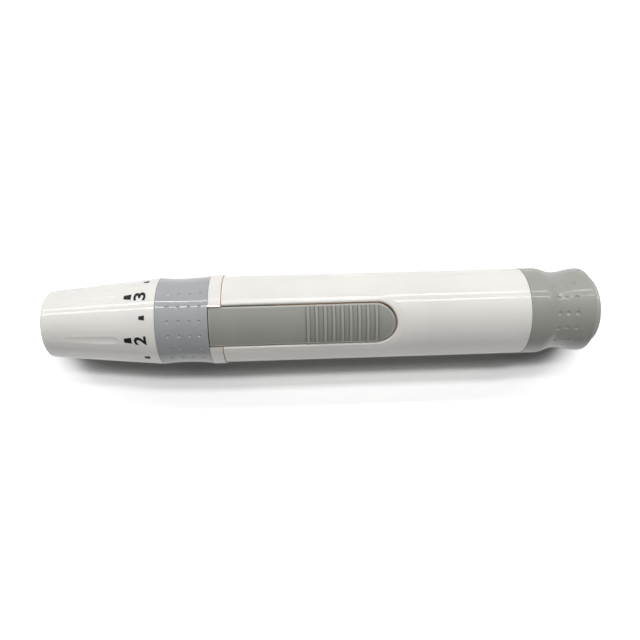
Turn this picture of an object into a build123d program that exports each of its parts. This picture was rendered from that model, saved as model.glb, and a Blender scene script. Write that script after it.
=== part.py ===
from build123d import *
import os
from math import asin, cos, hypot, radians, sin, sqrt

# Pen-shaped lancing device, in millimetres, lying on its side.
# The pen runs along X: the skin end is at -X and the cocking end at +X.
# The ejector slider faces +Z and the release button -Z.
# Every function draws in the pen's own frame, with the axis on X, where r is a
# distance from that axis. The export lifts the pen so that it lies on Z = 0.

# lengths along the pen, from the skin end
tip_length = 23.3
ring_length = 10.5
collar_length = 2.6
barrel_length = 62.8
sleeve_length = 13.9
plug_height = 1.7

# clearances
butt_gap = 0.08
running_gap = 0.1
press_gap = 0.05
slider_gap = 0.2
button_gap = 0.25
snap_gap = 0.12
end_gap = 0.35
nib_gap = 0.3
catch_gap = 0.15
cut_past = 1.0

# walls from the lancet's seat outwards, which set the pen's girth
socket_r = 3.1
holder_wall = 1.2
nib_reach = 1.3
frame_wall = 0.95
saddle_wall = 0.65
barrel_wall = 1.5

# outer form, measured from the barrel's surface
collar_proud = 0.26
tip_taper = 2.3
tip_bulge = 0.07
tip_round = 0.4
ring_front_below = 0.02
ring_waist_below = 0.24
ring_rear_above = 0.18
ring_waist_from_front = 4.6
sleeve_front_above = 0.04
sleeve_shoulder_below = 0.62
sleeve_waist_below = 0.92
sleeve_bulge_below = 0.25
sleeve_band = 3.3
sleeve_shoulder_from_front = 5.8
sleeve_waist_from_front = 8.7
sleeve_bulge_from_rear = 0.7
sleeve_rear_round = 0.6
plug_rim = 1.55
plug_chamfer = 0.35
plug_dome = 0.25
plug_spigot = 5.5

# frame, barrel end and cap liner
barrel_end_wall = 1.5
collar_spigot = 1.5
frame_flange_width = 1.2
frame_past_ring = 0.1
frame_flange_from_slot = 1.35
liner_wall = 0.95
liner_spigot_wall = 0.65
liner_spigot_length = 4.3
cap_fit = 0.2
cap_snap_height = 0.15
cap_snap_width = 0.8
cap_snap_from_collar = 4.4

# depth dial: numbers 1 to 5 about the tip, read against the ring's index
dial_numbers = 5
dial_pitch = 60.0
dial_number_three_at = 45.5
aperture_r = 1.5
tip_face_wall = 1.2
tip_wall = 1.3
dial_bore_step = 0.9
dial_bead_height = 0.3
dial_bead_width = 0.6
dial_bead_from_rear = 3.1
flute_count = 6
flute_width = 2.0
flute_depth = 0.16
flute_start = 3.6
flute_end = 15.3
cam_seat_step = 0.5
cam_floor = 1.4
cam_step = 0.35
shallow_stroke = 3.2

# grip dimples and index mark
ring_dimple_columns = (2.4, 4.55, 6.7, 8.7)
ring_dimple_widths = (0.8, 0.8, 0.6, 0.6)
ring_dimple_rows = (-46.5, -27.9, -9.3, 9.3, 27.9, 46.5)
sleeve_dimple_columns = (6.2, 7.9, 9.7)
sleeve_dimple_width = 1.0
sleeve_dimple_rows = (-37.3, -15.7, 5.9, 27.5, 49.1)
dimple_depth = 0.16
index_length = 2.8
index_width = 3.2
index_point = 1.2
index_height = 0.07
index_sink = 0.3
index_from_rear = 0.72
index_at = 12.5

# lancet holder, striker rod and catch
holder_past_frame = 2.0
holder_end_wall = 3.0
holder_slot_width = 2.2
socket_depth = 18.0
seat_bore_r = 2.4
nib_length = 1.2
nib_width = 1.6
bush_length = 4.0
rod_r = 1.8
rod_flange_below = 0.3
rod_flange = 1.5
seat_gap_r = 0.3
spring_seat = 1.5
strike_travel = 7.0
stab_travel = 3.0
drive_spring_closed = 1.5
return_spring_closed = 2.1
catch_past_yoke = 0.5
tail_overlap = 1.0
tail_length = 2.0
tail_gap = 0.4
rod_past_tail = 1.2

# ejector
eject_travel = 10.0
slider_half_width = 3.95
slider_length = 37.5
slider_below = 0.2
slider_edge = 0.2
slot_past_slider = 0.45
slot_edge_round = 0.35
rib_count = 9
rib_pitch = 1.725
rib_top_width = 0.5
rib_foot_width = 0.8
rib_height = 0.22
last_rib_from_end = 3.8
land_width = 1.5
land_depth = 0.2
saddle_half_angle = 42.0
saddle_end_inset = 1.3
finger_thickness = 2.0
finger_width = 1.8
finger_from_seat = 0.5
finger_room = 0.5
finger_below_axis = 1.5
finger_gap = 0.3
post_length = 1.0
post_from_seat = 2.0
post_gap = 0.2

# release button
button_travel = 1.2
button_half_length = 5.0
button_half_width = 3.4
button_dish_r = 14.0
button_dish_depth = 0.3
button_inset = 0.05
yoke_thickness = 1.5
yoke_rim = 1.05
leg_half_width = 1.8
leaf_thickness = 0.2
leaf_half_width = 2.4
leaf_end_inset = 0.8

# cocking end
core_wall = 1.5
core_tube_wall = 1.35
core_from_frame = 0.5
dog_gap_r = 0.2

# springs: wire radius and turns
drive_wire = (0.3, 6)
drive_coil_inset = 0.8
return_wire = (0.2, 3)
cocking_wire = (0.3, 4)
ejector_wire = (0.13, 9)
ejector_coil_r = 0.55

# stations along X
overall = tip_length + ring_length + collar_length + barrel_length + sleeve_length + plug_height
x_tip = -overall / 2
x_ring = x_tip + tip_length
x_collar = x_ring + ring_length
x_barrel = x_collar + collar_length
x_sleeve = x_barrel + barrel_length
x_plug = x_sleeve + sleeve_length
x_end = x_plug + plug_height

# radii that follow, from the inside out
holder_r = socket_r + holder_wall
frame_bore_r = holder_r + nib_reach + nib_gap
frame_r = frame_bore_r + frame_wall
saddle_bore_r = frame_r + running_gap
saddle_r = saddle_bore_r + saddle_wall
barrel_bore_r = saddle_r + running_gap
barrel_r = barrel_bore_r + barrel_wall
flange_r = barrel_bore_r - press_gap
liner_bore_r = frame_r + cap_fit
liner_r = liner_bore_r + liner_wall
spigot_r = liner_bore_r + liner_spigot_wall
spigot_bore_r = spigot_r + running_gap
cam_seat_r = spigot_bore_r - dial_bore_step
cam_bore_r = holder_r + nib_gap
tip_rear_r = barrel_r
tip_front_r = tip_rear_r - tip_taper
collar_r = barrel_r + collar_proud
slider_face_r = barrel_r - slider_below
yoke_drop = button_travel + catch_gap
yoke_r = frame_bore_r - yoke_drop - end_gap
catch_clear_r = yoke_r - yoke_rim
catch_r = catch_clear_r - catch_gap
rod_flange_r = holder_r - rod_flange_below
tail_r = catch_r + dog_gap_r + tail_overlap
core_bore_r = tail_r + tail_gap
core_r = core_bore_r + core_tube_wall
plug_r = core_r + plug_rim
button_r = barrel_r - button_inset
button_bore_r = frame_r + yoke_drop
leaf_bow = yoke_drop - leaf_thickness - end_gap

# places that follow
slot_half_width = slider_half_width + slider_gap
saddle_half_width = barrel_bore_r * sin(radians(saddle_half_angle))
x_slider_end = x_collar + slider_length
x_slot_end = x_slider_end + slot_past_slider
x_frame_front = x_ring + frame_past_ring
x_mouth = x_frame_front - holder_past_frame
x_socket_end = x_mouth + socket_depth
x_bush = x_socket_end
x_finger = x_socket_end + finger_from_seat
x_holder_floor = x_finger + finger_thickness + stab_travel + finger_room
x_holder_end = x_holder_floor + holder_end_wall
x_flange_rear = x_holder_end + rod_flange
x_spring_seat = x_flange_rear + drive_spring_closed + 2 * strike_travel
x_catch = x_spring_seat + spring_seat + return_spring_closed + stab_travel
x_yoke_rear = x_catch + strike_travel - running_gap
x_yoke = x_yoke_rear - yoke_thickness / 2
x_catch_end = x_yoke_rear + catch_past_yoke
x_post = x_spring_seat - post_from_seat - post_length
x_frame_end = x_yoke + button_half_length + button_gap
x_core = x_frame_end + core_from_frame
x_tail = x_core + core_wall + stab_travel + end_gap / 2
x_cam_floor = x_mouth - shallow_stroke - cam_step * (dial_numbers - 1) - cam_floor
x_saddle_lips = x_barrel + eject_travel + end_gap


def turned(*outline):
    """Ring or disc turned about the pen's axis from corners given as (x, r)."""
    return revolve(Plane.XZ * Polygon(*outline, align=None), Axis.X)


def tube(x_low, x_high, bore, outer):
    return turned((x_low, bore), (x_high, bore), (x_high, outer), (x_low, outer))


def disc(x_low, x_high, outer):
    return turned((x_low, 0), (x_high, 0), (x_high, outer), (x_low, outer))


def block(x_low, x_high, half_width, z_low, z_high):
    """Box centred on Y, used for slots, notches and legs."""
    middle = Pos((x_low + x_high) / 2, 0, (z_low + z_high) / 2)
    return middle * Box(x_high - x_low, 2 * half_width, z_high - z_low)


def round_ended(x_front, x_rear, half_width, z_low, z_high):
    """Prism along Z with a straight front end and a half-round rear end."""
    centre = x_rear - half_width
    straight = Pos((x_front + centre) / 2, 0) * Rectangle(centre - x_front, 2 * half_width)
    outline = straight + Pos(centre, 0) * Circle(half_width)
    return extrude(Pos(0, 0, z_low) * outline, z_high - z_low)


def oval(x_middle, half_length, half_width, z_low, z_high):
    """Prism along Z with two half-round ends."""
    outline = SlotOverall(2 * half_length, 2 * half_width)
    return extrude(Pos(x_middle, 0, z_low) * outline, z_high - z_low)


def coil(wire, mean_r, x_low, x_high):
    """Round-wire coil spring between two stations."""
    wire_r, turns = wire
    height = x_high - x_low - 2 * wire_r
    path = Helix(height / turns, height, mean_r, center=(x_low + wire_r, 0, 0), direction=(1, 0, 0))
    return sweep(Plane(path @ 0, z_dir=path % 0) * Circle(wire_r), path)


def around(angle):
    """Turns a thing at the top of the pen towards +Y by an angle in degrees."""
    return Rot(-angle, 0, 0)


def tip_radius(x):
    """Outer radius of the tapered tip at a station, on its slightly bulging side."""
    share = (x - x_tip) / tip_length
    return tip_front_r + (tip_rear_r - tip_front_r) * share + 4 * tip_bulge * share * (1 - share)


def ring_outline():
    """The grip ring's waisted side, from the tip's end to the collar's."""
    front = (x_ring, 0, barrel_r - ring_front_below)
    waist = (x_ring + ring_waist_from_front, 0, barrel_r - ring_waist_below)
    rear = (x_collar - butt_gap, 0, barrel_r + ring_rear_above)
    return Spline(front, waist, rear)


def sleeve_outline():
    """The cocking sleeve's side: a plain band, a scooped shoulder and a rounded bulge."""
    band_end = (x_sleeve + sleeve_band, 0, barrel_r + sleeve_front_above)
    shoulder = (x_sleeve + sleeve_shoulder_from_front, 0, barrel_r - sleeve_shoulder_below)
    waist = (x_sleeve + sleeve_waist_from_front, 0, barrel_r - sleeve_waist_below)
    bulge = (x_plug - sleeve_bulge_from_rear, 0, barrel_r - sleeve_bulge_below)
    return Spline(band_end, shoulder, waist, bulge, tangents=((1, 0, 0), (1, 0, 0)))


def radius_on(outline, x):
    """Radius of an outline at a station, found along the curve."""
    low, high = 0.0, 1.0
    for _ in range(30):
        middle = (low + high) / 2
        if (outline @ middle).X < x:
            low = middle
        else:
            high = middle
    return (outline @ low).Z


def dimples(outline, columns, widths, rows):
    """Two facing patches of round pits, in rows about the pen and columns along it."""
    pits = []
    for column, width in zip(columns, widths):
        ball_r = (width ** 2 / 4 + dimple_depth ** 2) / (2 * dimple_depth)
        lift = radius_on(outline, column) + ball_r - dimple_depth
        pit = Pos(column, 0, lift) * Sphere(ball_r)
        pits += [around(row + side) * pit for side in (0, 180) for row in rows]
    return pits


def tip_dial():
    """White tapered tip that is turned to set the depth."""
    front_r = tip_front_r - tip_round
    middle = x_tip + tip_length / 2
    rear = x_ring - butt_gap
    side = ThreePointArc(
        (x_tip + tip_round, 0, tip_radius(x_tip + tip_round)),
        (middle, 0, tip_radius(middle)),
        (rear, 0, tip_radius(rear)),
    )
    nose = ThreePointArc(
        (x_tip, 0, front_r),
        (x_tip + tip_round * (1 - cos(radians(45))), 0, front_r + tip_round * sin(radians(45))),
        side @ 0,
    )
    face = Line((x_tip, 0, 0), (x_tip, 0, front_r))
    back = Line(side @ 1, (rear, 0, 0))
    core = Line((rear, 0, 0), (x_tip, 0, 0))
    shell = revolve(make_face([face, nose, side, back, core]), Axis.X)
    x_room = x_tip + tip_face_wall
    x_spigot = x_ring - liner_spigot_length - end_gap
    room = turned(
        (x_room, 0),
        (x_room, tip_front_r - tip_wall),
        (x_cam_floor, cam_seat_r - cam_seat_step),
        (x_cam_floor, cam_seat_r + press_gap),
        (x_spigot, cam_seat_r + press_gap),
        (x_spigot, spigot_bore_r),
        (x_ring, spigot_bore_r),
        (x_ring, 0),
    )
    shell -= room
    shell -= disc(x_tip - cut_past, x_room + cut_past, aperture_r)
    bead_middle = x_ring - dial_bead_from_rear
    bead = turned(
        (bead_middle - dial_bead_width / 2, spigot_bore_r),
        (bead_middle, spigot_bore_r - dial_bead_height),
        (bead_middle + dial_bead_width / 2, spigot_bore_r),
        (bead_middle + dial_bead_width / 2, spigot_bore_r + press_gap),
        (bead_middle - dial_bead_width / 2, spigot_bore_r + press_gap),
    )
    shell += bead
    for number in range(flute_count):
        shell -= around(dial_number_three_at + number * 360 / flute_count) * flute()
    return shell


def flute():
    """Shallow finger flute along the taper: it fades out towards the skin end."""
    cutter_r = (flute_width ** 2 / 4 + flute_depth ** 2) / (2 * flute_depth)
    x_rear = x_tip + flute_end - flute_width / 2
    x_front = x_tip + flute_start
    rear = Vector(x_rear, 0, tip_radius(x_rear) + cutter_r - flute_depth)
    front = Vector(x_front, 0, tip_radius(x_front) + cutter_r)
    axis = front - rear
    shaft = Plane(rear, z_dir=axis) * Cylinder(
        cutter_r, axis.length, align=(Align.CENTER, Align.CENTER, Align.MIN)
    )
    return shaft + Pos(rear) * Sphere(cutter_r)


def depth_cam():
    """Ring with one step for each number: the striker's nib meets the step that faces it."""
    cam = tube(x_cam_floor, x_mouth - shallow_stroke, cam_bore_r, cam_seat_r)
    for number in range(1, dial_numbers + 1):
        stroke = shallow_stroke + cam_step * (number - 1)
        x_step = x_mouth - stroke
        if number > 1:
            angle = 180 + dial_number_three_at + dial_pitch * (number - 3)
            cam -= around(angle) * sector(x_step, x_mouth, dial_pitch)
    return cam


def sector(x_low, x_high, angle):
    """Wedge about the axis, centred on the top of the pen."""
    reach = 2 * cam_seat_r
    half = radians(angle / 2)
    wedge = Plane.YZ * Polygon((0, 0), (reach * sin(half), reach * cos(half)),
                               (-reach * sin(half), reach * cos(half)), align=None)
    return extrude(Pos(x_low, 0, 0) * wedge, x_high - x_low)


def cap_ring():
    """Waisted grip ring with dimples and a raised index mark."""
    side = ring_outline()
    x_rear = x_collar - butt_gap
    bore = liner_r + press_gap
    back = Line(side @ 1, (x_rear, 0, bore))
    inside = Line((x_rear, 0, bore), (x_ring, 0, bore))
    front = Line((x_ring, 0, bore), side @ 0)
    ring = revolve(make_face([side, back, inside, front]), Axis.X)
    columns = [x_ring + column for column in ring_dimple_columns]
    ring += around(index_at) * index_mark(side)
    return ring - dimples(side, columns, ring_dimple_widths, ring_dimple_rows)


def index_mark(side):
    """Raised arrow that points back along the pen, at the slider."""
    x_point = x_collar - butt_gap - index_from_rear
    x_shoulder = x_point - index_point
    x_foot = x_point - index_length
    half = index_width / 2
    outline = Polygon((x_point, 0), (x_shoulder, half), (x_foot, half),
                      (x_foot, -half), (x_shoulder, -half), align=None)
    prism = extrude(outline, collar_r + cut_past)
    raised = side.moved(Pos(0, 0, index_height))
    x_rear = (side @ 1).X
    root_r = barrel_r - ring_waist_below - index_sink
    back = Line(raised @ 1, (x_rear, 0, root_r))
    inside = Line((x_rear, 0, root_r), (x_ring, 0, root_r))
    front = Line((x_ring, 0, root_r), raised @ 0)
    return prism & revolve(make_face([raised, back, inside, front]), Axis.X)


def cap_liner():
    """Inner sleeve of the cap: it slides on the frame's nose and carries the dial."""
    x_spigot = x_ring - liner_spigot_length
    x_rear = x_collar - butt_gap
    liner = tube(x_ring, x_rear, liner_bore_r, liner_r)
    liner += tube(x_spigot, x_ring, liner_bore_r, spigot_r)
    middle = x_ring - dial_bead_from_rear
    half = dial_bead_width / 2 + snap_gap
    floor_r = spigot_bore_r - dial_bead_height - snap_gap
    groove = turned((middle - half, spigot_r), (middle - snap_gap, floor_r),
                    (middle + snap_gap, floor_r), (middle + half, spigot_r),
                    (middle + half, spigot_r + cut_past), (middle - half, spigot_r + cut_past))
    return liner - groove


def front_collar():
    """Thin collar at the barrel's front, notched for the slider."""
    bore = frame_r + press_gap
    collar = tube(x_collar, x_barrel - butt_gap, bore, collar_r)
    x_spigot = x_barrel + collar_spigot
    spigot = tube(x_barrel - butt_gap, x_spigot, bore, flange_r)
    collar += spigot - block(x_barrel - butt_gap, x_spigot, saddle_half_width + end_gap, 0, collar_r)
    return collar - block(x_collar, x_spigot, slot_half_width, 0, collar_r)


def barrel():
    """White outer barrel with the slider's slot and land, and the button's window."""
    body = tube(x_barrel, x_sleeve - barrel_end_wall, barrel_bore_r, barrel_r)
    body += tube(x_sleeve - barrel_end_wall, x_sleeve, core_r + running_gap, barrel_r)
    x_cut = x_barrel - cut_past
    body -= above_land()
    body -= round_ended(x_cut, x_slot_end, slot_half_width, 0, collar_r)
    body = fillet([edge for edge in body.edges() if on_slot_rim(edge @ 0.5)], slot_edge_round)
    window = oval(x_yoke, button_half_length + button_gap, button_half_width + button_gap, -collar_r, 0)
    return body - window


def beyond_slot(x, y):
    """Distance from the slot's wall, seen from above: negative inside the slot."""
    return hypot(max(x - x_slot_end + slot_half_width, 0), y) - slot_half_width


def on_slot_rim(point):
    """Whether a point lies on the upper edge of the slot's wall."""
    near_wall = abs(beyond_slot(point.X, point.Y)) < press_gap
    return near_wall and point.Z > 0 and hypot(point.Y, point.Z) > barrel_r - 2 * land_depth


def above_land():
    """What is cut away above the land, which slopes gently down to the slot all round it."""
    steps_along, steps_across = 60, 24
    x_low, x_high = x_barrel - cut_past, x_slot_end + 2 * land_width
    reach = slot_half_width + 2 * land_width
    rows = []
    for along in range(steps_along + 1):
        x = x_low + (x_high - x_low) * along / steps_along
        row = []
        for across in range(steps_across + 1):
            y = reach * (2 * across / steps_across - 1)
            depth = land_depth * (1 - beyond_slot(x, y) / land_width)
            row.append(Vector(x, y, sqrt(barrel_r ** 2 - y ** 2) - depth))
        rows.append(row)
    return extrude(Face.make_surface_from_array_of_points(rows), barrel_r, dir=(0, 0, 1))


def inner_frame():
    """Inner tube: nose for the cap, guide for the striker, slits for ejector and button."""
    frame = tube(x_frame_front, x_frame_end, frame_bore_r, frame_r)
    x_flange = x_slot_end + frame_flange_from_slot
    for x_low in (x_flange, x_frame_end - frame_flange_width):
        frame += tube(x_low, x_low + frame_flange_width, frame_bore_r, flange_r)
    x_snap = x_collar - cap_snap_from_collar
    snap = turned((x_snap - cap_snap_width / 2, frame_r), (x_snap, frame_r + cap_snap_height),
                  (x_snap + cap_snap_width / 2, frame_r), (x_snap, frame_r - frame_wall / 2))
    frame += snap - block(x_snap - cap_snap_width, x_snap + cap_snap_width, slot_half_width, 0, collar_r)
    x_slit = x_finger - eject_travel - finger_gap
    frame -= block(x_slit, x_finger + finger_thickness + finger_gap,
                   finger_width / 2 + finger_gap, 0, collar_r)
    frame -= block(x_yoke - yoke_thickness / 2 - button_gap, x_yoke_rear + button_gap,
                   leg_half_width + button_gap, -collar_r, 0)
    well = oval(x_yoke, button_half_length + button_gap, button_half_width + button_gap,
                -collar_r, -frame_bore_r)
    frame -= well - disc(x_frame_front, x_frame_end + cut_past, frame_r)
    post = block(x_post, x_post + post_length, finger_width / 2, holder_r + post_gap, frame_bore_r + post_gap)
    return frame + post


def guide_bush():
    """Bearing ring that guides the lancet holder, open at the top for the ejector's finger."""
    ring = tube(x_bush, x_bush + bush_length, holder_r + running_gap, frame_bore_r - press_gap)
    return ring - block(x_bush, x_bush + bush_length, finger_width / 2 + finger_gap, 0, frame_r)


def spring_seat_ring():
    """Partition that both striker springs stand on."""
    return tube(x_spring_seat, x_spring_seat + spring_seat, rod_r + seat_gap_r, frame_bore_r - press_gap)


def ejector_slider():
    """Thumb slider with nine raised ribs, a broken edge and a half-round rear end."""
    under_r = saddle_r + press_gap
    outline = round_ended(x_collar, x_slider_end, slider_half_width, 0, collar_r)
    pad = outline & tube(x_collar, x_slider_end, under_r, slider_face_r)
    face = pad.faces().sort_by(Axis.Z)[-1]
    pad = fillet(face.edges(), slider_edge)
    x_last = x_slider_end - last_rib_from_end
    foot_r = slider_face_r - 2 * slider_edge
    for number in range(rib_count):
        rib = x_last - number * rib_pitch
        ridge = turned((rib - rib_foot_width / 2, foot_r), (rib - rib_foot_width / 2, slider_face_r),
                       (rib - rib_top_width / 2, slider_face_r + rib_height),
                       (rib + rib_top_width / 2, slider_face_r + rib_height),
                       (rib + rib_foot_width / 2, slider_face_r), (rib + rib_foot_width / 2, foot_r))
        pad += ridge & block(x_collar, x_slider_end, slider_half_width, 0, collar_r)
    return pad


def ejector_carriage():
    """Saddle under the slider: it runs between barrel and frame and carries the finger."""
    x_rear = x_slider_end - saddle_end_inset
    shell = tube(x_collar, x_rear, saddle_bore_r, saddle_r)
    narrow = block(x_collar, x_saddle_lips, slider_half_width, 0, collar_r)
    wide = block(x_saddle_lips, x_rear, saddle_half_width, 0, collar_r)
    saddle = shell & (narrow + wide)
    finger = block(x_finger, x_finger + finger_thickness, finger_width / 2,
                   -finger_below_axis, (saddle_bore_r + saddle_r) / 2)
    return saddle + finger


def release_button():
    """Oval button, flush with the barrel and slightly dished."""
    pad = oval(x_yoke, button_half_length, button_half_width, -collar_r, 0)
    pad &= tube(x_yoke - button_half_length, x_yoke + button_half_length, button_bore_r, button_r)
    dish = Pos(x_yoke, 0, button_dish_depth - button_r - button_dish_r) * Sphere(button_dish_r)
    return pad - dish


def trigger_yoke():
    """Catch plate: its window holds the striker's land, and its leg carries the button."""
    centres = (Pos(0, 0), Pos(0, -yoke_drop))
    outline = make_hull([place * Circle(yoke_r).edge() for place in centres])
    window = make_hull([place * Circle(catch_clear_r).edge() for place in centres])
    plate = extrude(Plane.YZ * (outline - window), yoke_thickness)
    plate = Pos(x_yoke - yoke_thickness / 2, 0, 0) * plate
    x_front = x_yoke - yoke_thickness / 2
    leg = block(x_front, x_yoke_rear, leg_half_width,
                -button_bore_r, -yoke_drop - catch_clear_r - yoke_rim / 2)
    return plate + (leg & disc(x_front, x_yoke_rear, button_bore_r))


def button_leaf():
    """Bowed leaf spring between the frame and the button."""
    reach = button_half_length - leaf_end_inset
    z_end = -frame_r - press_gap
    z_low = z_end - leaf_bow
    top = ThreePointArc((x_yoke - reach, 0, z_end), (x_yoke, 0, z_low + leaf_thickness),
                        (x_yoke + reach, 0, z_end))
    bottom = ThreePointArc((x_yoke + reach, 0, z_end - leaf_thickness), (x_yoke, 0, z_low),
                           (x_yoke - reach, 0, z_end - leaf_thickness))
    strip = make_face([top, Line(top @ 1, bottom @ 0), bottom, Line(bottom @ 1, top @ 0)])
    leaf = extrude(strip, leaf_half_width, both=True)
    hole = block(x_yoke - yoke_thickness, x_yoke + yoke_thickness, leg_half_width + running_gap,
                 -collar_r, 0)
    return leaf - hole


def lancet_holder():
    """Tube that grips a lancet: slotted for the ejector's finger, with the stop nib below."""
    holder = disc(x_mouth, x_holder_end, holder_r)
    holder -= disc(x_mouth, x_socket_end, socket_r)
    holder -= disc(x_socket_end, x_holder_floor, seat_bore_r)
    holder -= disc(x_holder_floor, x_holder_end, rod_r + press_gap)
    holder -= block(x_mouth, x_holder_floor, holder_slot_width / 2, 0, frame_r)
    nib_root = (holder_r + socket_r) / 2
    nib = block(x_mouth, x_mouth + nib_length, nib_width / 2, -holder_r - nib_reach, -nib_root)
    return holder + nib


def striker_rod():
    """Rod behind the holder, with the drive spring's flange and the catch land."""
    rod = disc(x_holder_floor, x_tail + tail_length + rod_past_tail, rod_r)
    rod += disc(x_holder_end, x_flange_rear, rod_flange_r)
    return rod + disc(x_catch, x_catch_end, catch_r)


def tail_collar():
    """Collar on the rod's tail that the cocking core pulls back."""
    return tube(x_tail, x_tail + tail_length, rod_r + press_gap, tail_r)


def cocking_sleeve():
    """Grey sleeve that is pulled back to cock the striker."""
    x_front = x_sleeve + butt_gap
    side = sleeve_outline()
    bore = core_r + press_gap
    front_r = barrel_r + sleeve_front_above
    band = Line((x_front, 0, front_r), side @ 0)
    rear_r = barrel_r - sleeve_bulge_below - sleeve_rear_round
    rounded = ThreePointArc(
        side @ 1,
        (x_plug - sleeve_bulge_from_rear * (1 - sin(radians(45))), 0,
         rear_r + sleeve_rear_round * cos(radians(45))),
        (x_plug, 0, rear_r),
    )
    rear = Line((x_plug, 0, rear_r), (x_plug, 0, bore))
    inside = Line((x_plug, 0, bore), (x_front, 0, bore))
    front = Line((x_front, 0, bore), (x_front, 0, front_r))
    sleeve = revolve(make_face([band, side, rounded, rear, inside, front]), Axis.X)
    columns = [x_sleeve + column for column in sleeve_dimple_columns]
    widths = [sleeve_dimple_width] * len(columns)
    return sleeve - dimples(side, columns, widths, sleeve_dimple_rows)


def cocking_core():
    """Tube inside the sleeve: its front wall is the dog that meets the tail collar."""
    core = tube(x_core, x_core + core_wall, catch_r + dog_gap_r, barrel_bore_r - running_gap)
    return core + tube(x_core + core_wall, x_plug - press_gap, core_bore_r, core_r)


def end_plug():
    """Plug that closes the sleeve, with a chamfered rim and a slight dome."""
    rim = x_end - plug_dome
    edge = plug_r - plug_chamfer
    spigot = core_bore_r - press_gap
    x_spigot = x_plug - plug_spigot
    dome_r = (edge ** 2 + plug_dome ** 2) / (2 * plug_dome)
    half_way = asin(edge / dome_r) / 2
    middle = (x_end - dome_r + dome_r * cos(half_way), 0, dome_r * sin(half_way))
    dome = ThreePointArc((rim, 0, edge), middle, (x_end, 0, 0))
    corners = Polyline((x_end, 0, 0), (x_spigot, 0, 0), (x_spigot, 0, spigot), (x_plug, 0, spigot),
                       (x_plug, 0, plug_r), (rim - plug_chamfer, 0, plug_r), (rim, 0, edge))
    return revolve(make_face([*corners.edges(), dome]), Axis.X)


def drive_spring():
    """Spring that fires the striker, between its flange and the partition."""
    return coil(drive_wire, rod_flange_r - drive_coil_inset, x_flange_rear, x_spring_seat)


def return_spring():
    """Spring that draws the fired striker back, between the partition and the land."""
    return coil(return_wire, (rod_r + catch_r) / 2, x_spring_seat + spring_seat, x_catch)


def cocking_spring():
    """Spring that sends the sleeve home, round the core inside the barrel."""
    return coil(cocking_wire, (core_r + barrel_bore_r) / 2, x_core + core_wall, x_sleeve - barrel_end_wall)


def ejector_spring():
    """Small tension spring from the finger back to the frame's post."""
    spring = coil(ejector_wire, ejector_coil_r, x_finger + finger_thickness, x_post)
    return Pos(0, 0, (holder_r + frame_bore_r) / 2) * spring


nodes = {
    "tip_dial": tip_dial,
    "depth_cam": depth_cam,
    "cap_ring": cap_ring,
    "cap_liner": cap_liner,
    "front_collar": front_collar,
    "barrel": barrel,
    "inner_frame": inner_frame,
    "guide_bush": guide_bush,
    "spring_seat_ring": spring_seat_ring,
    "ejector_slider": ejector_slider,
    "ejector_carriage": ejector_carriage,
    "ejector_spring": ejector_spring,
    "release_button": release_button,
    "trigger_yoke": trigger_yoke,
    "button_leaf": button_leaf,
    "lancet_holder": lancet_holder,
    "striker_rod": striker_rod,
    "tail_collar": tail_collar,
    "drive_spring": drive_spring,
    "return_spring": return_spring,
    "cocking_sleeve": cocking_sleeve,
    "cocking_core": cocking_core,
    "cocking_spring": cocking_spring,
    "end_plug": end_plug,
}

os.makedirs("parts", exist_ok=True)
for name, make in nodes.items():
    export_step(Pos(0, 0, collar_r) * make(), f"parts/{name}.step")
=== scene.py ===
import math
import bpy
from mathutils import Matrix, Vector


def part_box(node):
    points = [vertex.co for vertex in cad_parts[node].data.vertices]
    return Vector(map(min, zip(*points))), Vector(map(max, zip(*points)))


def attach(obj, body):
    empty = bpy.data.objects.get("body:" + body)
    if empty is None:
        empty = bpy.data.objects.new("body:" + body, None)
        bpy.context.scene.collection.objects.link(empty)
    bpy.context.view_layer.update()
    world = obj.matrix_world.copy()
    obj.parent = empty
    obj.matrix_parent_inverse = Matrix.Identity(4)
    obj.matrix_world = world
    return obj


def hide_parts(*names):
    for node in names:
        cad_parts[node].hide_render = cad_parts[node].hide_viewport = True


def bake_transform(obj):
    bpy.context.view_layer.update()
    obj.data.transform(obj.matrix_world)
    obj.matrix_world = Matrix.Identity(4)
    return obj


bl_info = {
    "name": "Lancing device",
    "version": (1, 0, 0),
    "blender": (4, 5, 0),
    "location": "3D View > Sidebar > Lancing device",
    "description": "Dresses the pen's moulded parts, prints its depth dial and lays it on a white table",
    "category": "Object",
}

import bmesh
import bpy
from bpy.props import FloatProperty, FloatVectorProperty, IntProperty, PointerProperty
from mathutils import Matrix, Vector
from mathutils.bvhtree import BVHTree

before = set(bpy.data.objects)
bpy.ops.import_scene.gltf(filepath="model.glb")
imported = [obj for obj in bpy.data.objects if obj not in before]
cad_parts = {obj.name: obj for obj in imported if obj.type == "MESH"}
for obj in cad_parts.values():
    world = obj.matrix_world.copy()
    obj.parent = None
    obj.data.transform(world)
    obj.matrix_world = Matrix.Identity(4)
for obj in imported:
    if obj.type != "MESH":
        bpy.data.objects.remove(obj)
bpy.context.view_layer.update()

MM = 0.001

# Places in the frame
TIP_LOW, TIP_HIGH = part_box("tip_dial")
TIP_RADIUS = (TIP_HIGH.z - TIP_LOW.z) / 2
AXIS_HEIGHT = (TIP_LOW.z + TIP_HIGH.z) / 2
DIAL_BACK = TIP_HIGH.x
SLIDER_LOW, SLIDER_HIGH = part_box("ejector_slider")
BARREL_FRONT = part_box("barrel")[0].x

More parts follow.
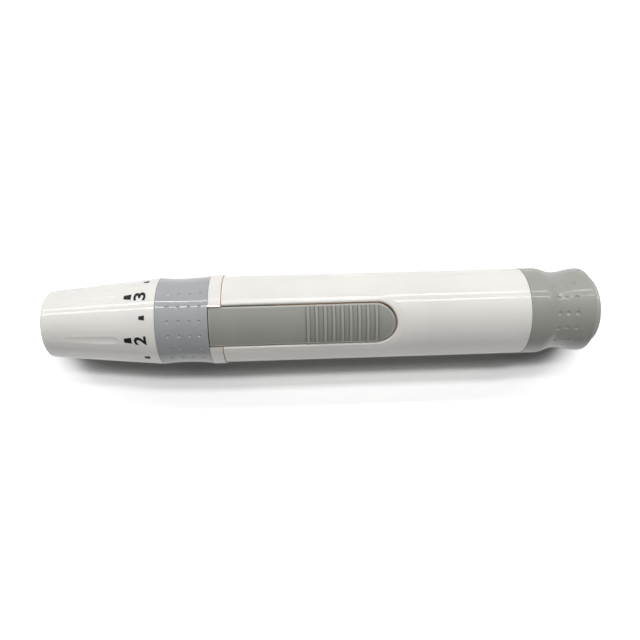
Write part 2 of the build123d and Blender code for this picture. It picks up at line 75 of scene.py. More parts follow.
# Walls of the white plastic at the seam and in the slot, painted lighter and warmer as painted light that
# stands for light coming through the plastic: the gap between collar and barrel, the depth that still
# counts as a face, the distance from the axis at which the slot's walls end, how softly they end, the
# slot's rear, and the stretch of the slider's length behind which its walls stay in the slot at any stroke
SEAM_GAP = 0.08 * MM
FACE_SKIN = 0.03 * MM
SLOT_SKIN = 8.75 * MM
SLOT_FADE = 0.2 * MM
SLOT_REAR = SLIDER_HIGH.x + MM
COVERED_FROM = SLIDER_LOW.x + 12.5 * MM
COVERED_BY = SLIDER_LOW.x + 14 * MM

# Roughness and clear coat of the plastics
WHITE_ROUGHNESS = 0.13
RING_ROUGHNESS = 0.12
THUMB_ROUGHNESS = 0.42
SLEEVE_ROUGHNESS = 0.3
SLEEVE_COAT = 0.9
FRAME_ROUGHNESS = 0.35
SLIDING_ROUGHNESS = 0.32

# How much lighter the slider's rim is painted than its grey, as a painted highlight
RIM_HIGHLIGHT_LEVEL = 1.6

# Painted highlight and shade across the ribs: grey of the slider from the middle of a rib, at 0, to
# halfway to the next, at 0.5, lighter on top, darkest at the foot and a little darker between them.
# Past that there are no ribs. The gain makes a level of 0.5 leave the colour as it is.
RIB_LEVELS = ((0.0, 0.59), (0.13, 0.59), (0.2, 0.33), (0.27, 0.36), (0.36, 0.46), (0.5, 0.46), (0.55, 0.5))
LEVEL_GAIN = 2

# Meshes that the scene makes: distances at which points are merged, the grid that a print is cut
# by, how far from the axis the search for the tip's surface starts, and the table's size in metres
COIL_MERGE = 0.001 * MM
PRINT_STEP = 0.25 * MM
PRINT_MERGE = 0.002 * MM
RAY_START = 20 * MM
TABLE_HALF_WIDTH = 2
TABLE_CELLS = 8

# The table's painted shade beside the pen, and where it ends in plain white, from the middle
SHADE_SAMPLES = 32
SHADE_DISTANCE = 11 * MM
SHADE_DARKEST = 0.25
ROOM_LOW, ROOM_HIGH = 0.78, 0.945
SHADE_SIDE = -8 * MM
BRIGHT_SIDE = -2 * MM
TABLE_ENDS = 0.12
WHITE_FROM = 0.3

# Lamps: distance from the pen, and sizes along the pen and across it, in metres
LAMP_DISTANCE = 1.2
WINDOW_SIZE = (0.8, 0.08)
SIDE_SIZE = (1.6, 0.6)
FILL_SIZE = (1.6, 0.16)
TUBE_SIZE = (3.2, 0.022)
SIDE_LEAN = math.radians(75)
FILL_LEAN = math.radians(-85)

# Surroundings in reflections: how bright the near side is, and the slopes between which it fades
NEAR_LEVEL = 0.2
NEAR_SLOPE, FAR_SLOPE = -0.7, 0.8
MIRROR_RAYS = ("Is Glossy Ray", "Is Transmission Ray")

# Camera: sensor in millimetres, and the nearest and farthest place that it sees, in metres
SENSOR_WIDTH = 36
NEAREST, FARTHEST = 0.01, 20

# A mix node's colour sockets
MIX_FIRST, MIX_SECOND, MIX_RESULT = 6, 7, 2


def colour(name, text, value):
    """A colour property with four channels, as a material's socket takes it."""
    return FloatVectorProperty(name=name, description=text, subtype="COLOR", size=4, min=0, max=1,
                               default=(*value, 1))


def length(name, text, value):
    """A length property in metres, from a size in millimetres."""
    return FloatProperty(name=name, description=text, subtype="DISTANCE", unit="LENGTH",
                         default=value * MM)


class PlasticColours(bpy.types.PropertyGroup):
    """Colours of the moulded plastics and of the print."""

    white: colour("White", "Glossy white of the tip, collar and barrel", (0.785, 0.765, 0.73))
    ring: colour("Ring", "Bluish grey of the grip ring", (0.345, 0.352, 0.362))
    satin: colour("Satin grey", "Warm grey of the slider, button, sleeve and plug", (0.302, 0.302, 0.277))
    inner_white: colour("Inner white", "Natural white of the frame and liner", (0.72, 0.71, 0.68))
    inner_grey: colour("Inner grey", "Grey of the sliding inner pieces", (0.12, 0.125, 0.13))
    inner_amber: colour("Inner amber", "Natural amber of the saddle, seen in the slot's gap",
                        (0.6, 0.33, 0.14))
    # Painted light on walls in a gap, standing for light that comes through the white plastic
    gap_wall: colour("Gap wall", "White plastic's walls in a gap, where light comes through it",
                     (0.86, 0.69, 0.54))
    plug: colour("Plug", "Cooler grey of the end plug", (0.36, 0.365, 0.36))
    ink: colour("Ink", "Printed numbers and marks", (0.006, 0.006, 0.007))
    steel: colour("Spring steel", "Wire of the springs", (0.55, 0.55, 0.56))


class DialPrint(bpy.types.PropertyGroup):
    """Numbers and marks that are printed on the depth dial."""

    numbers: IntProperty(name="Numbers", description="Depth settings on the dial", default=5, min=1)
    pitch: FloatProperty(name="Pitch", description="Angle from one number to the next",
                         subtype="ANGLE", default=math.radians(60))
    three_at: FloatProperty(name="Number 3 at", description="Angle of number 3 from the slider's side",
                            subtype="ANGLE", default=math.radians(45.5))
    digit_height: length("Digit height", "Height of a digit, along the pen", 2.45)
    digit_width: length("Digit width", "Width of every digit but the 1, round the pen", 2.05)
    one_width: length("Width of the 1", "Width of the digit 1, round the pen", 0.95)
    digit_weight: FloatProperty(name="Digit weight", description="Extra stroke width, in font units",
                                default=0.03)
    digit_back: length("Digit back", "From the dial's back edge to a digit's foot", 1.9)
    mark_back: length("Mark back", "From the dial's back edge to a number's mark", 4.85)
    mark_length: length("Mark length", "Length of a number's mark, along the pen", 1.5)
    mark_front_width: length("Mark front width", "Width of a number's mark towards the skin end", 0.95)
    mark_back_width: length("Mark back width", "Width of a number's mark towards the ring", 1.41)
    half_back: length("Half mark back", "From the dial's back edge to a half mark", 1.95)
    half_length: length("Half mark length", "Length of a half mark, along the pen", 1.15)
    half_front_width: length("Half mark front width", "Width of a half mark towards the skin end", 0.7)
    half_back_width: length("Half mark back width", "Width of a half mark towards the ring", 1.05)
    ink_depth: length("Ink depth", "Thickness of the print above the plastic", 0.015)


class SliderFinish(bpy.types.PropertyGroup):
    """Where the thumb slider gets a painted highlight on its rim, and painted highlight and shade on its
    ribs.
    """

    # Width of the slider's rim that gets a painted highlight
    rim: length("Rim", "Width of the polished rim", 0.3)
    rib_pitch: length("Rib pitch", "From one rib to the next", 1.725)
    ribs: IntProperty(name="Ribs", description="Ribs on the slider", default=9, min=1)
    last_rib: length("Last rib", "From the slider's round end to the last rib", 3.8)


class TableLight(bpy.types.PropertyGroup):
    """Soft light above the table and on both of its sides, and two ceiling tubes."""

    sky: FloatProperty(name="Sky", description="Strength of the even light", default=0.14, min=0)
    window: FloatProperty(name="Window", description="Power of each of the two lights above",
                          unit="POWER", default=3.75, min=0)
    window_leans: FloatVectorProperty(name="Window leans", description="Lean of each light above",
                                      subtype="EULER", size=2,
                                      default=(math.radians(28.5), math.radians(37)))
    side: FloatProperty(name="Side", description="Power of the soft light beside the table", unit="POWER",
                        default=3, min=0)
    tube: FloatProperty(name="Tube", description="Power of each ceiling tube", unit="POWER",
                        default=3.5, min=0)
    fill: FloatProperty(name="Fill", description="Power of the low light on the near side", unit="POWER",
                        default=3, min=0)
    tube_leans: FloatVectorProperty(name="Tube leans", description="Lean of each tube from straight up",
                                    subtype="EULER", size=2, default=(math.radians(62), math.radians(46.5)))
    table: colour("Table", "White of the table top", (0.92, 0.92, 0.92))
    table_lift: FloatProperty(name="Table lift", description="How much whiter the camera sees the table",
                              default=1.78, min=1)
    mirror_lift: FloatProperty(name="Mirror lift", description="How much whiter a gloss shows the table",
                               default=1.1, min=1)


class PhotoCamera(bpy.types.PropertyGroup):
    """The camera that looks down on the pen, leaning towards the far side."""

    lean: FloatProperty(name="Lean", description="Angle from straight down", subtype="ANGLE",
                        default=math.radians(11.2))
    distance: length("Distance", "From the pen's axis to the camera", 122.925)
    along: length("Along", "Camera's place along the pen", -5.871)
    yaw: FloatProperty(name="Yaw", description="Turn to the side", subtype="ANGLE",
                       default=math.radians(-2.279))
    pitch: FloatProperty(name="Pitch", description="Turn up or down", subtype="ANGLE",
                         default=math.radians(0.372))
    roll: FloatProperty(name="Roll", description="Turn about the view line", subtype="ANGLE",
                        default=math.radians(-1.648))
    lens: FloatProperty(name="Lens", description="Focal length on a 36 mm sensor, in millimetres",
                        default=32.06)


def node_tree(name):
    """New node material, with its nodes, its links and its shader."""
    material = bpy.data.materials.new(name)
    material.use_nodes = True
    nodes = material.node_tree.nodes
    return material, nodes, material.node_tree.links, nodes["Principled BSDF"]


def plugged(links, socket, value):
    """Gives a socket a plain value or the output of another node."""
    if isinstance(value, bpy.types.NodeSocket):
        links.new(value, socket)
    else:
        socket.default_value = value


def scaled_noise(nodes, links, scale, detail, stretch=(1, 1, 1)):
    """Noise on the piece's own coordinates, stretched where the plastic flowed or was rubbed."""
    texture = nodes.new("ShaderNodeTexCoord")
    mapping = nodes.new("ShaderNodeMapping")
    mapping.inputs["Scale"].default_value = stretch
    links.new(texture.outputs["Object"], mapping.inputs["Vector"])
    noise = nodes.new("ShaderNodeTexNoise")
    noise.inputs["Scale"].default_value = scale
    noise.inputs["Detail"].default_value = detail
    links.new(mapping.outputs["Vector"], noise.inputs["Vector"])
    return noise.outputs["Fac"]


def calculated(nodes, links, operation, *values):
    """Result of one sum, from sockets and plain numbers."""
    step = nodes.new("ShaderNodeMath")
    step.operation = operation
    for socket, value in zip(step.inputs, values):
        plugged(links, socket, value)
    return step.outputs["Value"]


def along(nodes, links, axis):
    """Where a point is along the piece's own X, Y or Z, in metres."""
    texture = nodes.new("ShaderNodeTexCoord")
    parts = nodes.new("ShaderNodeSeparateXYZ")
    links.new(texture.outputs["Object"], parts.inputs["Vector"])
    return parts.outputs[axis]


def reach(nodes, links, first, second):
    """Distance from two sides at a right angle."""
    square = calculated(nodes, links, "MULTIPLY", second, second)
    return calculated(nodes, links, "SQRT", calculated(nodes, links, "MULTIPLY_ADD", first, first, square))


def ranged(nodes, links, value, low, high, start=0.35, end=0.65):
    """Maps the middle of a noise, or another stretch of values, to a range."""
    spread = nodes.new("ShaderNodeMapRange")
    settings = {"Value": value, "From Min": start, "From Max": end, "To Min": low, "To Max": high}
    for name, setting in settings.items():
        plugged(links, spread.inputs[name], setting)
    return spread.outputs["Result"]


def mixed(nodes, links, factor, first, second):
    """Mixes two colours by a factor."""
    mix = nodes.new("ShaderNodeMix")
    mix.data_type = "RGBA"
    plugged(links, mix.inputs[MIX_FIRST], first)
    plugged(links, mix.inputs[MIX_SECOND], second)
    links.new(factor, mix.inputs["Factor"])
    return mix.outputs[MIX_RESULT]


def brightened(nodes, links, tint, level):
    """A colour times a level, which may be above one."""
    brighter = nodes.new("ShaderNodeVectorMath")
    brighter.operation = "SCALE"
    links.new(tint, brighter.inputs[0])
    plugged(links, brighter.inputs["Scale"], level)
    return brighter.outputs["Vector"]


def shaded(value, share):
    """A colour made lighter or darker by a share."""
    return [min(1, channel * share) for channel in value[:3]] + [1]


def tinted(nodes, links, noise, base, darker, lighter):
    """A colour that drifts with a noise between a darker and a lighter share of itself."""
    return mixed(nodes, links, ranged(nodes, links, noise, 0, 1), shaded(base, darker), shaded(base, lighter))


def roughened(nodes, links, shader, noise, smooth, rough):
    """Lets the shader's roughness follow a noise."""
    links.new(ranged(nodes, links, noise, smooth, rough), shader.inputs["Roughness"])


def coated(shader, weight, roughness):
    """Gives the shader a clear skin."""
    shader.inputs["Coat Weight"].default_value = weight
    shader.inputs["Coat Roughness"].default_value = roughness


def bumped(nodes, links, shader, height, strength, distance):
    """Adds a bump to the shader's normal."""
    bump = nodes.new("ShaderNodeBump")
    bump.inputs["Strength"].default_value = strength
    bump.inputs["Distance"].default_value = distance
    links.new(height, bump.inputs["Height"])
    links.new(bump.outputs["Normal"], shader.inputs["Normal"])


def seam_wall(nodes, links, seam):
    """One on the end face at a seam, where the light through its gap is painted."""
    behind = calculated(nodes, links, "SUBTRACT", along(nodes, links, "X"), seam)
    off = calculated(nodes, links, "ABSOLUTE", behind)
    return ranged(nodes, links, off, 1, 0, start=FACE_SKIN, end=2 * FACE_SKIN)


def slot_wall(nodes, links, skin):
    """One on the walls of the slider's slot, below the rim that shows."""
    rise = calculated(nodes, links, "SUBTRACT", along(nodes, links, "Z"), AXIS_HEIGHT)
    from_axis = reach(nodes, links, along(nodes, links, "Y"), rise)
    deep = ranged(nodes, links, from_axis, 1, 0, start=skin - SLOT_FADE, end=skin)
    near = ranged(nodes, links, along(nodes, links, "X"), 1, 0, start=SLOT_REAR - SLOT_FADE, end=SLOT_REAR)
    above = ranged(nodes, links, rise, 0, 1, start=0, end=MM)
    return calculated(nodes, links, "MULTIPLY", deep, calculated(nodes, links, "MULTIPLY", near, above))


def glossy_moulding(name, base, roughness, coat=0.5, seam=None, skin=None):
    """Glossy moulded plastic: slow colour drift, rubbed patches and a faint moulding ripple."""
    material, nodes, links, shader = node_tree(name)
    drift = scaled_noise(nodes, links, scale=60, detail=3)
    tint = tinted(nodes, links, drift, base, darker=0.975, lighter=1.02)
    # Painted light on the walls at the seam and in the slot
    if seam is not None:
        tint = mixed(nodes, links, seam_wall(nodes, links, seam), tint, colours().gap_wall)
    if skin is not None:
        tint = mixed(nodes, links, slot_wall(nodes, links, skin), tint, colours().gap_wall)
    links.new(tint, shader.inputs["Base Color"])
    rubbed = scaled_noise(nodes, links, scale=260, detail=5, stretch=(0.35, 1, 1))
    roughened(nodes, links, shader, rubbed, smooth=roughness * 0.8, rough=roughness * 1.35)
    ripple = scaled_noise(nodes, links, scale=420, detail=2)
    bumped(nodes, links, shader, ripple, strength=0.4, distance=0.02 * MM)
    coated(shader, coat, roughness=0.02)
    return material


def rim_band(nodes, links, inner, outer):
    """One from a depth to the slider's edge: along its sides, round its end and across its front."""
    x = along(nodes, links, "X")
    half = SLIDER_HIGH.y
    behind = calculated(nodes, links, "SUBTRACT", x, SLIDER_HIGH.x - half)
    past = calculated(nodes, links, "MAXIMUM", behind, 0)
    from_middle = reach(nodes, links, past, along(nodes, links, "Y"))
    sides = ranged(nodes, links, from_middle, 0, 1, start=half - inner, end=half - outer)
    front = ranged(nodes, links, x, 1, 0, start=SLIDER_LOW.x + outer, end=SLIDER_LOW.x + inner)
    return calculated(nodes, links, "MAXIMUM", sides, front)


def slider_wall(nodes, links):
    """One on the slider's walls that stay in the slot at any stroke."""
    edge = rim_band(nodes, links, inner=FACE_SKIN, outer=FACE_SKIN / 3)
    kept = ranged(nodes, links, along(nodes, links, "X"), 0, 1, start=COVERED_FROM, end=COVERED_BY)
    inside = calculated(nodes, links, "MULTIPLY", kept, slot_wall(nodes, links, SLOT_SKIN))
    return calculated(nodes, links, "MULTIPLY", edge, inside)


def rib_level(nodes, links, slider_paint):
    """Half the level of grey across the ribs: painted highlight on top, painted shade at the foot, and
    lighter painted shade between them.
    """
    last = SLIDER_HIGH.x - slider_paint.last_rib
    first = last - (slider_paint.ribs - 1) * slider_paint.rib_pitch
    behind = calculated(nodes, links, "SUBTRACT", along(nodes, links, "X"), first)
    cell = calculated(nodes, links, "DIVIDE", behind, slider_paint.rib_pitch)
    not_before = calculated(nodes, links, "MAXIMUM", calculated(nodes, links, "ROUND", cell), 0)
    nearest = calculated(nodes, links, "MINIMUM", not_before, slider_paint.ribs - 1)
    off = calculated(nodes, links, "ABSOLUTE", calculated(nodes, links, "SUBTRACT", cell, nearest))
    ramp = nodes.new("ShaderNodeValToRGB")
    stops = ramp.color_ramp.elements
    stops.remove(stops[1])
    for number, (share, level) in enumerate(RIB_LEVELS):
        stop = stops.new(share) if number else stops[0]
        stop.color = (level, level, level, 1)
    links.new(off, ramp.inputs["Fac"])
    return ramp.outputs["Color"]


def slider_wear(nodes, links, tint, slider_paint):
    """The slider's grey with painted highlight and shade on its ribs, a painted highlight on its rim, and
    painted light on its walls in the slot.
    """
    # Painted highlight on the ribs' tops, and painted shade at their feet and between them
    ribbed = nodes.new("ShaderNodeVectorMath")
    ribbed.operation = "MULTIPLY"
    links.new(tint, ribbed.inputs[0])
    links.new(rib_level(nodes, links, slider_paint), ribbed.inputs[1])
    rib_shade_and_highlight = brightened(nodes, links, ribbed.outputs["Vector"], LEVEL_GAIN)
    # Painted highlight along the slider's rim
    polish_and_highlight = rim_band(nodes, links, inner=slider_paint.rim, outer=slider_paint.rim / 2)
    tint = mixed(nodes, links, polish_and_highlight, rib_shade_and_highlight, shaded(colours().satin, RIM_HIGHLIGHT_LEVEL))
    # Painted light on the slider's walls that stay in the slot
    return mixed(nodes, links, slider_wall(nodes, links), tint, colours().gap_wall)


def satin_moulding(name, base, roughness, coat=0, slider_paint=None):
    """Satin plastic with the fine spark-eroded grain of its mould and a little polish from thumbs."""
    material, nodes, links, shader = node_tree(name)
    drift = scaled_noise(nodes, links, scale=90, detail=4)
    tint = tinted(nodes, links, drift, base, darker=0.95, lighter=1.04)
    if slider_paint:
        tint = slider_wear(nodes, links, tint, slider_paint)
    links.new(tint, shader.inputs["Base Color"])
    polish_and_highlight = scaled_noise(nodes, links, scale=150, detail=3)
    roughened(nodes, links, shader, polish_and_highlight, smooth=roughness * 0.85, rough=roughness * 1.2)
    grain = scaled_noise(nodes, links, scale=5200, detail=2)
    bumped(nodes, links, shader, grain, strength=0.25, distance=0.03 * MM)
    coated(shader, coat, roughness=0.05)
    return material


def spring_wire(name, base):
    """Drawn steel wire with fine marks along it."""
    material, nodes, links, shader = node_tree(name)
    drawn = scaled_noise(nodes, links, scale=2600, detail=4, stretch=(0.2, 1, 1))
    tint = tinted(nodes, links, drawn, base, darker=0.8, lighter=1.1)
    links.new(tint, shader.inputs["Base Color"])
    roughened(nodes, links, shader, drawn, smooth=0.22, rough=0.38)
    shader.inputs["Metallic"].default_value = 1
    return material


def printed_ink(name, base):
    """Pad-printed ink: near black, slightly glossy, a little uneven."""
    material, nodes, links, shader = node_tree(name)
    grain = scaled_noise(nodes, links, scale=3000, detail=3)
    tint = tinted(nodes, links, grain, base, darker=0.8, lighter=1.5)
    links.new(tint, shader.inputs["Base Color"])
    roughened(nodes, links, shader, grain, smooth=0.32, rough=0.45)
    shader.inputs["Specular IOR Level"].default_value = 0.3
    return material


def dress(material, *names):
    """Gives CAD nodes their material."""
    for name in names:
        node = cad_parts[name]
        node.data.materials.clear()
        node.data.materials.append(material)


def colours():
    """The scene's colours of the plastics and the print."""
    return bpy.context.scene.pen_colours


class PEN_OT_white_mouldings(bpy.types.Operator):
    """Finish the white tip, collar and barrel"""

    bl_idname = "pen.white_mouldings"
    bl_label = "White mouldings"

    def execute(self, context):
        white = colours().white
        dress(glossy_moulding("tip_white", white, WHITE_ROUGHNESS, coat=1), "tip_dial")
        collar = glossy_moulding("collar_white", white, WHITE_ROUGHNESS, seam=BARREL_FRONT - SEAM_GAP)
        barrel = glossy_moulding("barrel_white", white, WHITE_ROUGHNESS, seam=BARREL_FRONT, skin=SLOT_SKIN)
        dress(collar, "front_collar")
        dress(barrel, "barrel")
        return {"FINISHED"}


class PEN_OT_grip_ring(bpy.types.Operator):
    """Finish the glossy grip ring"""

    bl_idname = "pen.grip_ring"
    bl_label = "Grip ring"

    def execute(self, context):
        dress(glossy_moulding("ring_gloss", colours().ring, RING_ROUGHNESS, coat=1), "cap_ring")
        return {"FINISHED"}


class PEN_OT_satin_mouldings(bpy.types.Operator):
    """Finish the slider, button, sleeve and plug"""

    bl_idname = "pen.satin_mouldings"
    bl_label = "Satin mouldings"

    def execute(self, context):
        satin = colours().satin
        slider = satin_moulding("slider_satin", satin, THUMB_ROUGHNESS, slider_paint=context.scene.pen_slider)
        sleeve = satin_moulding("sleeve_satin", satin, SLEEVE_ROUGHNESS, coat=SLEEVE_COAT)
        plug = satin_moulding("plug_satin", colours().plug, SLEEVE_ROUGHNESS, coat=SLEEVE_COAT)
        dress(satin_moulding("button_satin", satin, THUMB_ROUGHNESS), "release_button")
        dress(slider, "ejector_slider")
        dress(sleeve, "cocking_sleeve")
        dress(plug, "end_plug")
        return {"FINISHED"}


class PEN_OT_mechanism(bpy.types.Operator):
    """Finish the frame, the liner and the sliding inner pieces"""

    bl_idname = "pen.mechanism"
    bl_label = "Mechanism"

    def execute(self, context):
        dress(satin_moulding("inner_white", colours().inner_white, FRAME_ROUGHNESS),
              "inner_frame", "guide_bush", "spring_seat_ring", "cap_liner", "depth_cam")
        dress(satin_moulding("inner_amber", colours().inner_amber, SLIDING_ROUGHNESS), "ejector_carriage")
        dress(satin_moulding("inner_grey", colours().inner_grey, SLIDING_ROUGHNESS),
              "trigger_yoke", "lancet_holder", "striker_rod", "tail_collar", "cocking_core")
        dress(spring_wire("spring_wire", colours().steel),
              "ejector_spring", "button_leaf", "drive_spring", "return_spring", "cocking_spring")
        return {"FINISHED"}


def new_piece(name, mesh, material):
    """Object at the origin with a mesh and one material."""
    data = bpy.data.meshes.new(name)
    mesh.to_mesh(data)
    mesh.free()
    data.materials.append(material)
    piece = bpy.data.objects.new(name, data)
    bpy.context.scene.collection.objects.link(piece)
    return piece


def sprung_coil(name):
    """Merged copy of a coil spring, in place of the CAD one; in the pen its front end moves with one body and
    its rear end with another.
    """
    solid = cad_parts[name].data
    mesh = bmesh.new()
    mesh.from_mesh(solid)
    bmesh.ops.remove_doubles(mesh, verts=mesh.verts, dist=COIL_MERGE)
    piece = new_piece(f"{name}_coil", mesh, solid.materials[0])
    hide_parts(name)
    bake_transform(piece)


class PEN_OT_springs(bpy.types.Operator):
    """Replace the three coils at the cocking sleeve and the striker with merged copies"""

    bl_idname = "pen.springs"
    bl_label = "Springs"

    def execute(self, context):
        sprung_coil("drive_spring")
        sprung_coil("cocking_spring")
        sprung_coil("return_spring")
        return {"FINISHED"}


def outward(angle):
    """Direction away from the pen's axis at an angle from straight up, towards the far side."""
    return Vector((0, math.sin(angle), math.cos(angle)))


def dial_point(tree, x, angle, lift):
    """Place over the tip's surface at a station and an angle from the slider's side."""
    away = outward(angle)
    start = Vector((x, 0, AXIS_HEIGHT)) + away * RAY_START
    hit = tree.ray_cast(start, -away)[0]
    return hit + away * lift


def corners(mesh):
    """Lowest and highest corner of a mesh's box."""
    low = Vector(min(vert.co[axis] for vert in mesh.verts) for axis in range(3))
    high = Vector(max(vert.co[axis] for vert in mesh.verts) for axis in range(3))
    return low, high


def sliced(mesh, step):
    """Cuts a flat outline by a grid of lines, so that it can follow a curved surface."""
    low, high = corners(mesh)
    for axis in (0, 1):
        normal = Vector((axis == 0, axis == 1, 0))
        for number in range(1, math.ceil((high[axis] - low[axis]) / step)):
            cut = low + normal * step * number
            everything = mesh.verts[:] + mesh.edges[:] + mesh.faces[:]
            bmesh.ops.bisect_plane(mesh, geom=everything, plane_co=cut, plane_no=normal)


def printed(name, mesh, foot_x, angle, tree, material):
    """Wraps a flat print round the tip: its top points to the skin end, and its foot to the ring."""
    depth = bpy.context.scene.pen_dial.ink_depth
    sliced(mesh, PRINT_STEP)
    bmesh.ops.remove_doubles(mesh, verts=mesh.verts, dist=PRINT_MERGE)
    for vert in mesh.verts:
        vert.co = dial_point(tree, foot_x - vert.co.y, angle + vert.co.x / TIP_RADIUS, depth)
    bmesh.ops.recalc_face_normals(mesh, faces=mesh.faces)
    if mesh.faces[0].normal.dot(outward(angle)) < 0:
        bmesh.ops.reverse_faces(mesh, faces=mesh.faces)
    top = bmesh.ops.extrude_face_region(mesh, geom=mesh.faces[:])["geom"]
    raised = {vert for vert in top if isinstance(vert, bmesh.types.BMVert)}
    for vert in mesh.verts:
        if vert not in raised:
            # The print goes as deep into the plastic as it stands above it
            away = Vector((0, vert.co.y, vert.co.z - AXIS_HEIGHT)).normalized()
            vert.co -= away * depth * 2
    bmesh.ops.recalc_face_normals(mesh, faces=mesh.faces)
    piece = new_piece(name, mesh, material)
    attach(piece, "dial")


def digit_outline(digit, dial):
    """Flat mesh of one digit, centred across, standing on its foot."""
    text = bpy.data.curves.new("digit", "FONT")
    text.body = str(digit)
    text.offset = dial.digit_weight
    holder = bpy.data.objects.new("digit", text)
    flat = bpy.data.meshes.new_from_object(holder)
    bpy.data.objects.remove(holder)
    mesh = bmesh.new()
    mesh.from_mesh(flat)
    bpy.data.meshes.remove(flat)
    low, high = corners(mesh)
    foot = Vector(((low.x + high.x) / 2, low.y, 0))
    bmesh.ops.translate(mesh, verts=mesh.verts, vec=-foot)
    width = dial.one_width if digit == 1 else dial.digit_width
    share = (width / (high.x - low.x), dial.digit_height / (high.y - low.y), 1)
    bmesh.ops.scale(mesh, verts=mesh.verts, vec=share)
    return mesh


def mark_outline(tall, back_width, front_width):
    """Flat trapezium that stands on its back edge."""
    mesh = bmesh.new()
    bmesh.ops.create_grid(mesh, x_segments=1, y_segments=1, size=1)
    for vert in mesh.verts:
        front = vert.co.y > 0
        width = front_width if front else back_width
        vert.co = Vector((math.copysign(width / 2, vert.co.x), tall if front else 0, 0))
    return mesh


def number_angle(dial, digit):
    """Angle of a number from the slider's side, counted from number 3."""
    return dial.three_at + (digit - 3) * dial.pitch


def tip_tree():
    """Search tree of the tip's surface."""
    return BVHTree.FromObject(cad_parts["tip_dial"], bpy.context.evaluated_depsgraph_get())


class PEN_OT_dial_numbers(bpy.types.Operator):
    """Print the depth numbers round the tip"""

    bl_idname = "pen.dial_numbers"
    bl_label = "Dial numbers"

    def execute(self, context):
        dial = context.scene.pen_dial
        material = printed_ink("number_ink", colours().ink)
        tree = tip_tree()
        foot = DIAL_BACK - dial.digit_back
        for digit in range(1, dial.numbers + 1):
            angle = number_angle(dial, digit)
            printed(f"number_{digit}", digit_outline(digit, dial), foot, angle, tree, material)
        return {"FINISHED"}


class PEN_OT_dial_marks(bpy.types.Operator):
    """Print the marks at each number and between the numbers"""

    bl_idname = "pen.dial_marks"
    bl_label = "Dial marks"

    def execute(self, context):
        dial = context.scene.pen_dial
        material = printed_ink("mark_ink", colours().ink)
        tree = tip_tree()
        for digit in range(1, dial.numbers + 1):
            angle = number_angle(dial, digit)
            whole = mark_outline(dial.mark_length, dial.mark_back_width, dial.mark_front_width)
            printed(f"mark_{digit}", whole, DIAL_BACK - dial.mark_back, angle, tree, material)
            if digit < dial.numbers:
                half = mark_outline(dial.half_length, dial.half_back_width, dial.half_front_width)
                printed(f"half_mark_{digit}", half, DIAL_BACK - dial.half_back,
                        angle + dial.pitch / 2, tree, material)
        return {"FINISHED"}


def lamp(name, energy, lean, size, mirrored=False):
    """Area lamp that leans from straight up towards the far side of the table and faces the pen."""
    data = bpy.data.lights.new(name, "AREA")
    data.shape = "RECTANGLE"
    data.size, data.size_y = size
    data.energy = energy
    light = bpy.data.objects.new(name, data)
    light.location = (0, LAMP_DISTANCE * math.sin(lean), LAMP_DISTANCE * math.cos(lean))
    light.rotation_euler = (-lean, 0, 0)
    light.visible_glossy = mirrored
    bpy.context.scene.collection.objects.link(light)


def ray_kind(nodes, links, *kinds):
    """One for rays of the kinds that are named, and zero for the rest."""
    path = nodes.new("ShaderNodeLightPath")
    found = path.outputs[kinds[0]]
    for kind in kinds[1:]:
        found = calculated(nodes, links, "MAXIMUM", found, path.outputs[kind])
    return found


def white_world(strength):
    """White surroundings: plain white to the camera, and less bright in reflections from the near side."""
    world = bpy.data.worlds.new("surroundings")
    bpy.context.scene.world = world
    world.use_nodes = True
    nodes, links = world.node_tree.nodes, world.node_tree.links
    background = nodes["Background"]
    background.inputs["Color"].default_value = (1, 1, 1, 1)
    slope = along(nodes, links, "Y")
    mirrored = ranged(nodes, links, slope, NEAR_LEVEL, 1, start=NEAR_SLOPE, end=FAR_SLOPE)
    shown = calculated(nodes, links, "MAXIMUM", mirrored, ray_kind(nodes, links, "Is Camera Ray"))
    seen = ray_kind(nodes, links, "Is Camera Ray", *MIRROR_RAYS)
    level = ranged(nodes, links, seen, strength, shown, start=0, end=1)
    links.new(level, background.inputs["Strength"])


def contact_shade(nodes, links):
    """Painted shade: the share of the table's colour kept close to the pen's shaded side."""
    room = nodes.new("ShaderNodeAmbientOcclusion")
    room.samples = SHADE_SAMPLES
    room.inputs["Distance"].default_value = SHADE_DISTANCE
    room_left = ranged(nodes, links, room.outputs["AO"], SHADE_DARKEST, 1, start=ROOM_LOW, end=ROOM_HIGH)
    far_side = ranged(nodes, links, along(nodes, links, "Y"), 0, 1, start=SHADE_SIDE, end=BRIGHT_SIDE)
    return calculated(nodes, links, "MAXIMUM", room_left, far_side)


def matt_paint(nodes, links, tint, level):
    """Matt shader with a tint at a level."""
    matt = nodes.new("ShaderNodeBsdfDiffuse")
    links.new(brightened(nodes, links, tint, level), matt.inputs["Color"])
    return matt.outputs["BSDF"]


def chosen(nodes, links, factor, first, second):
    """First shader where the factor is zero, and the second where it is one."""
    choice = nodes.new("ShaderNodeMixShader")
    links.new(factor, choice.inputs["Fac"])
    links.new(first, choice.inputs[1])
    links.new(second, choice.inputs[2])
    return choice.outputs["Shader"]


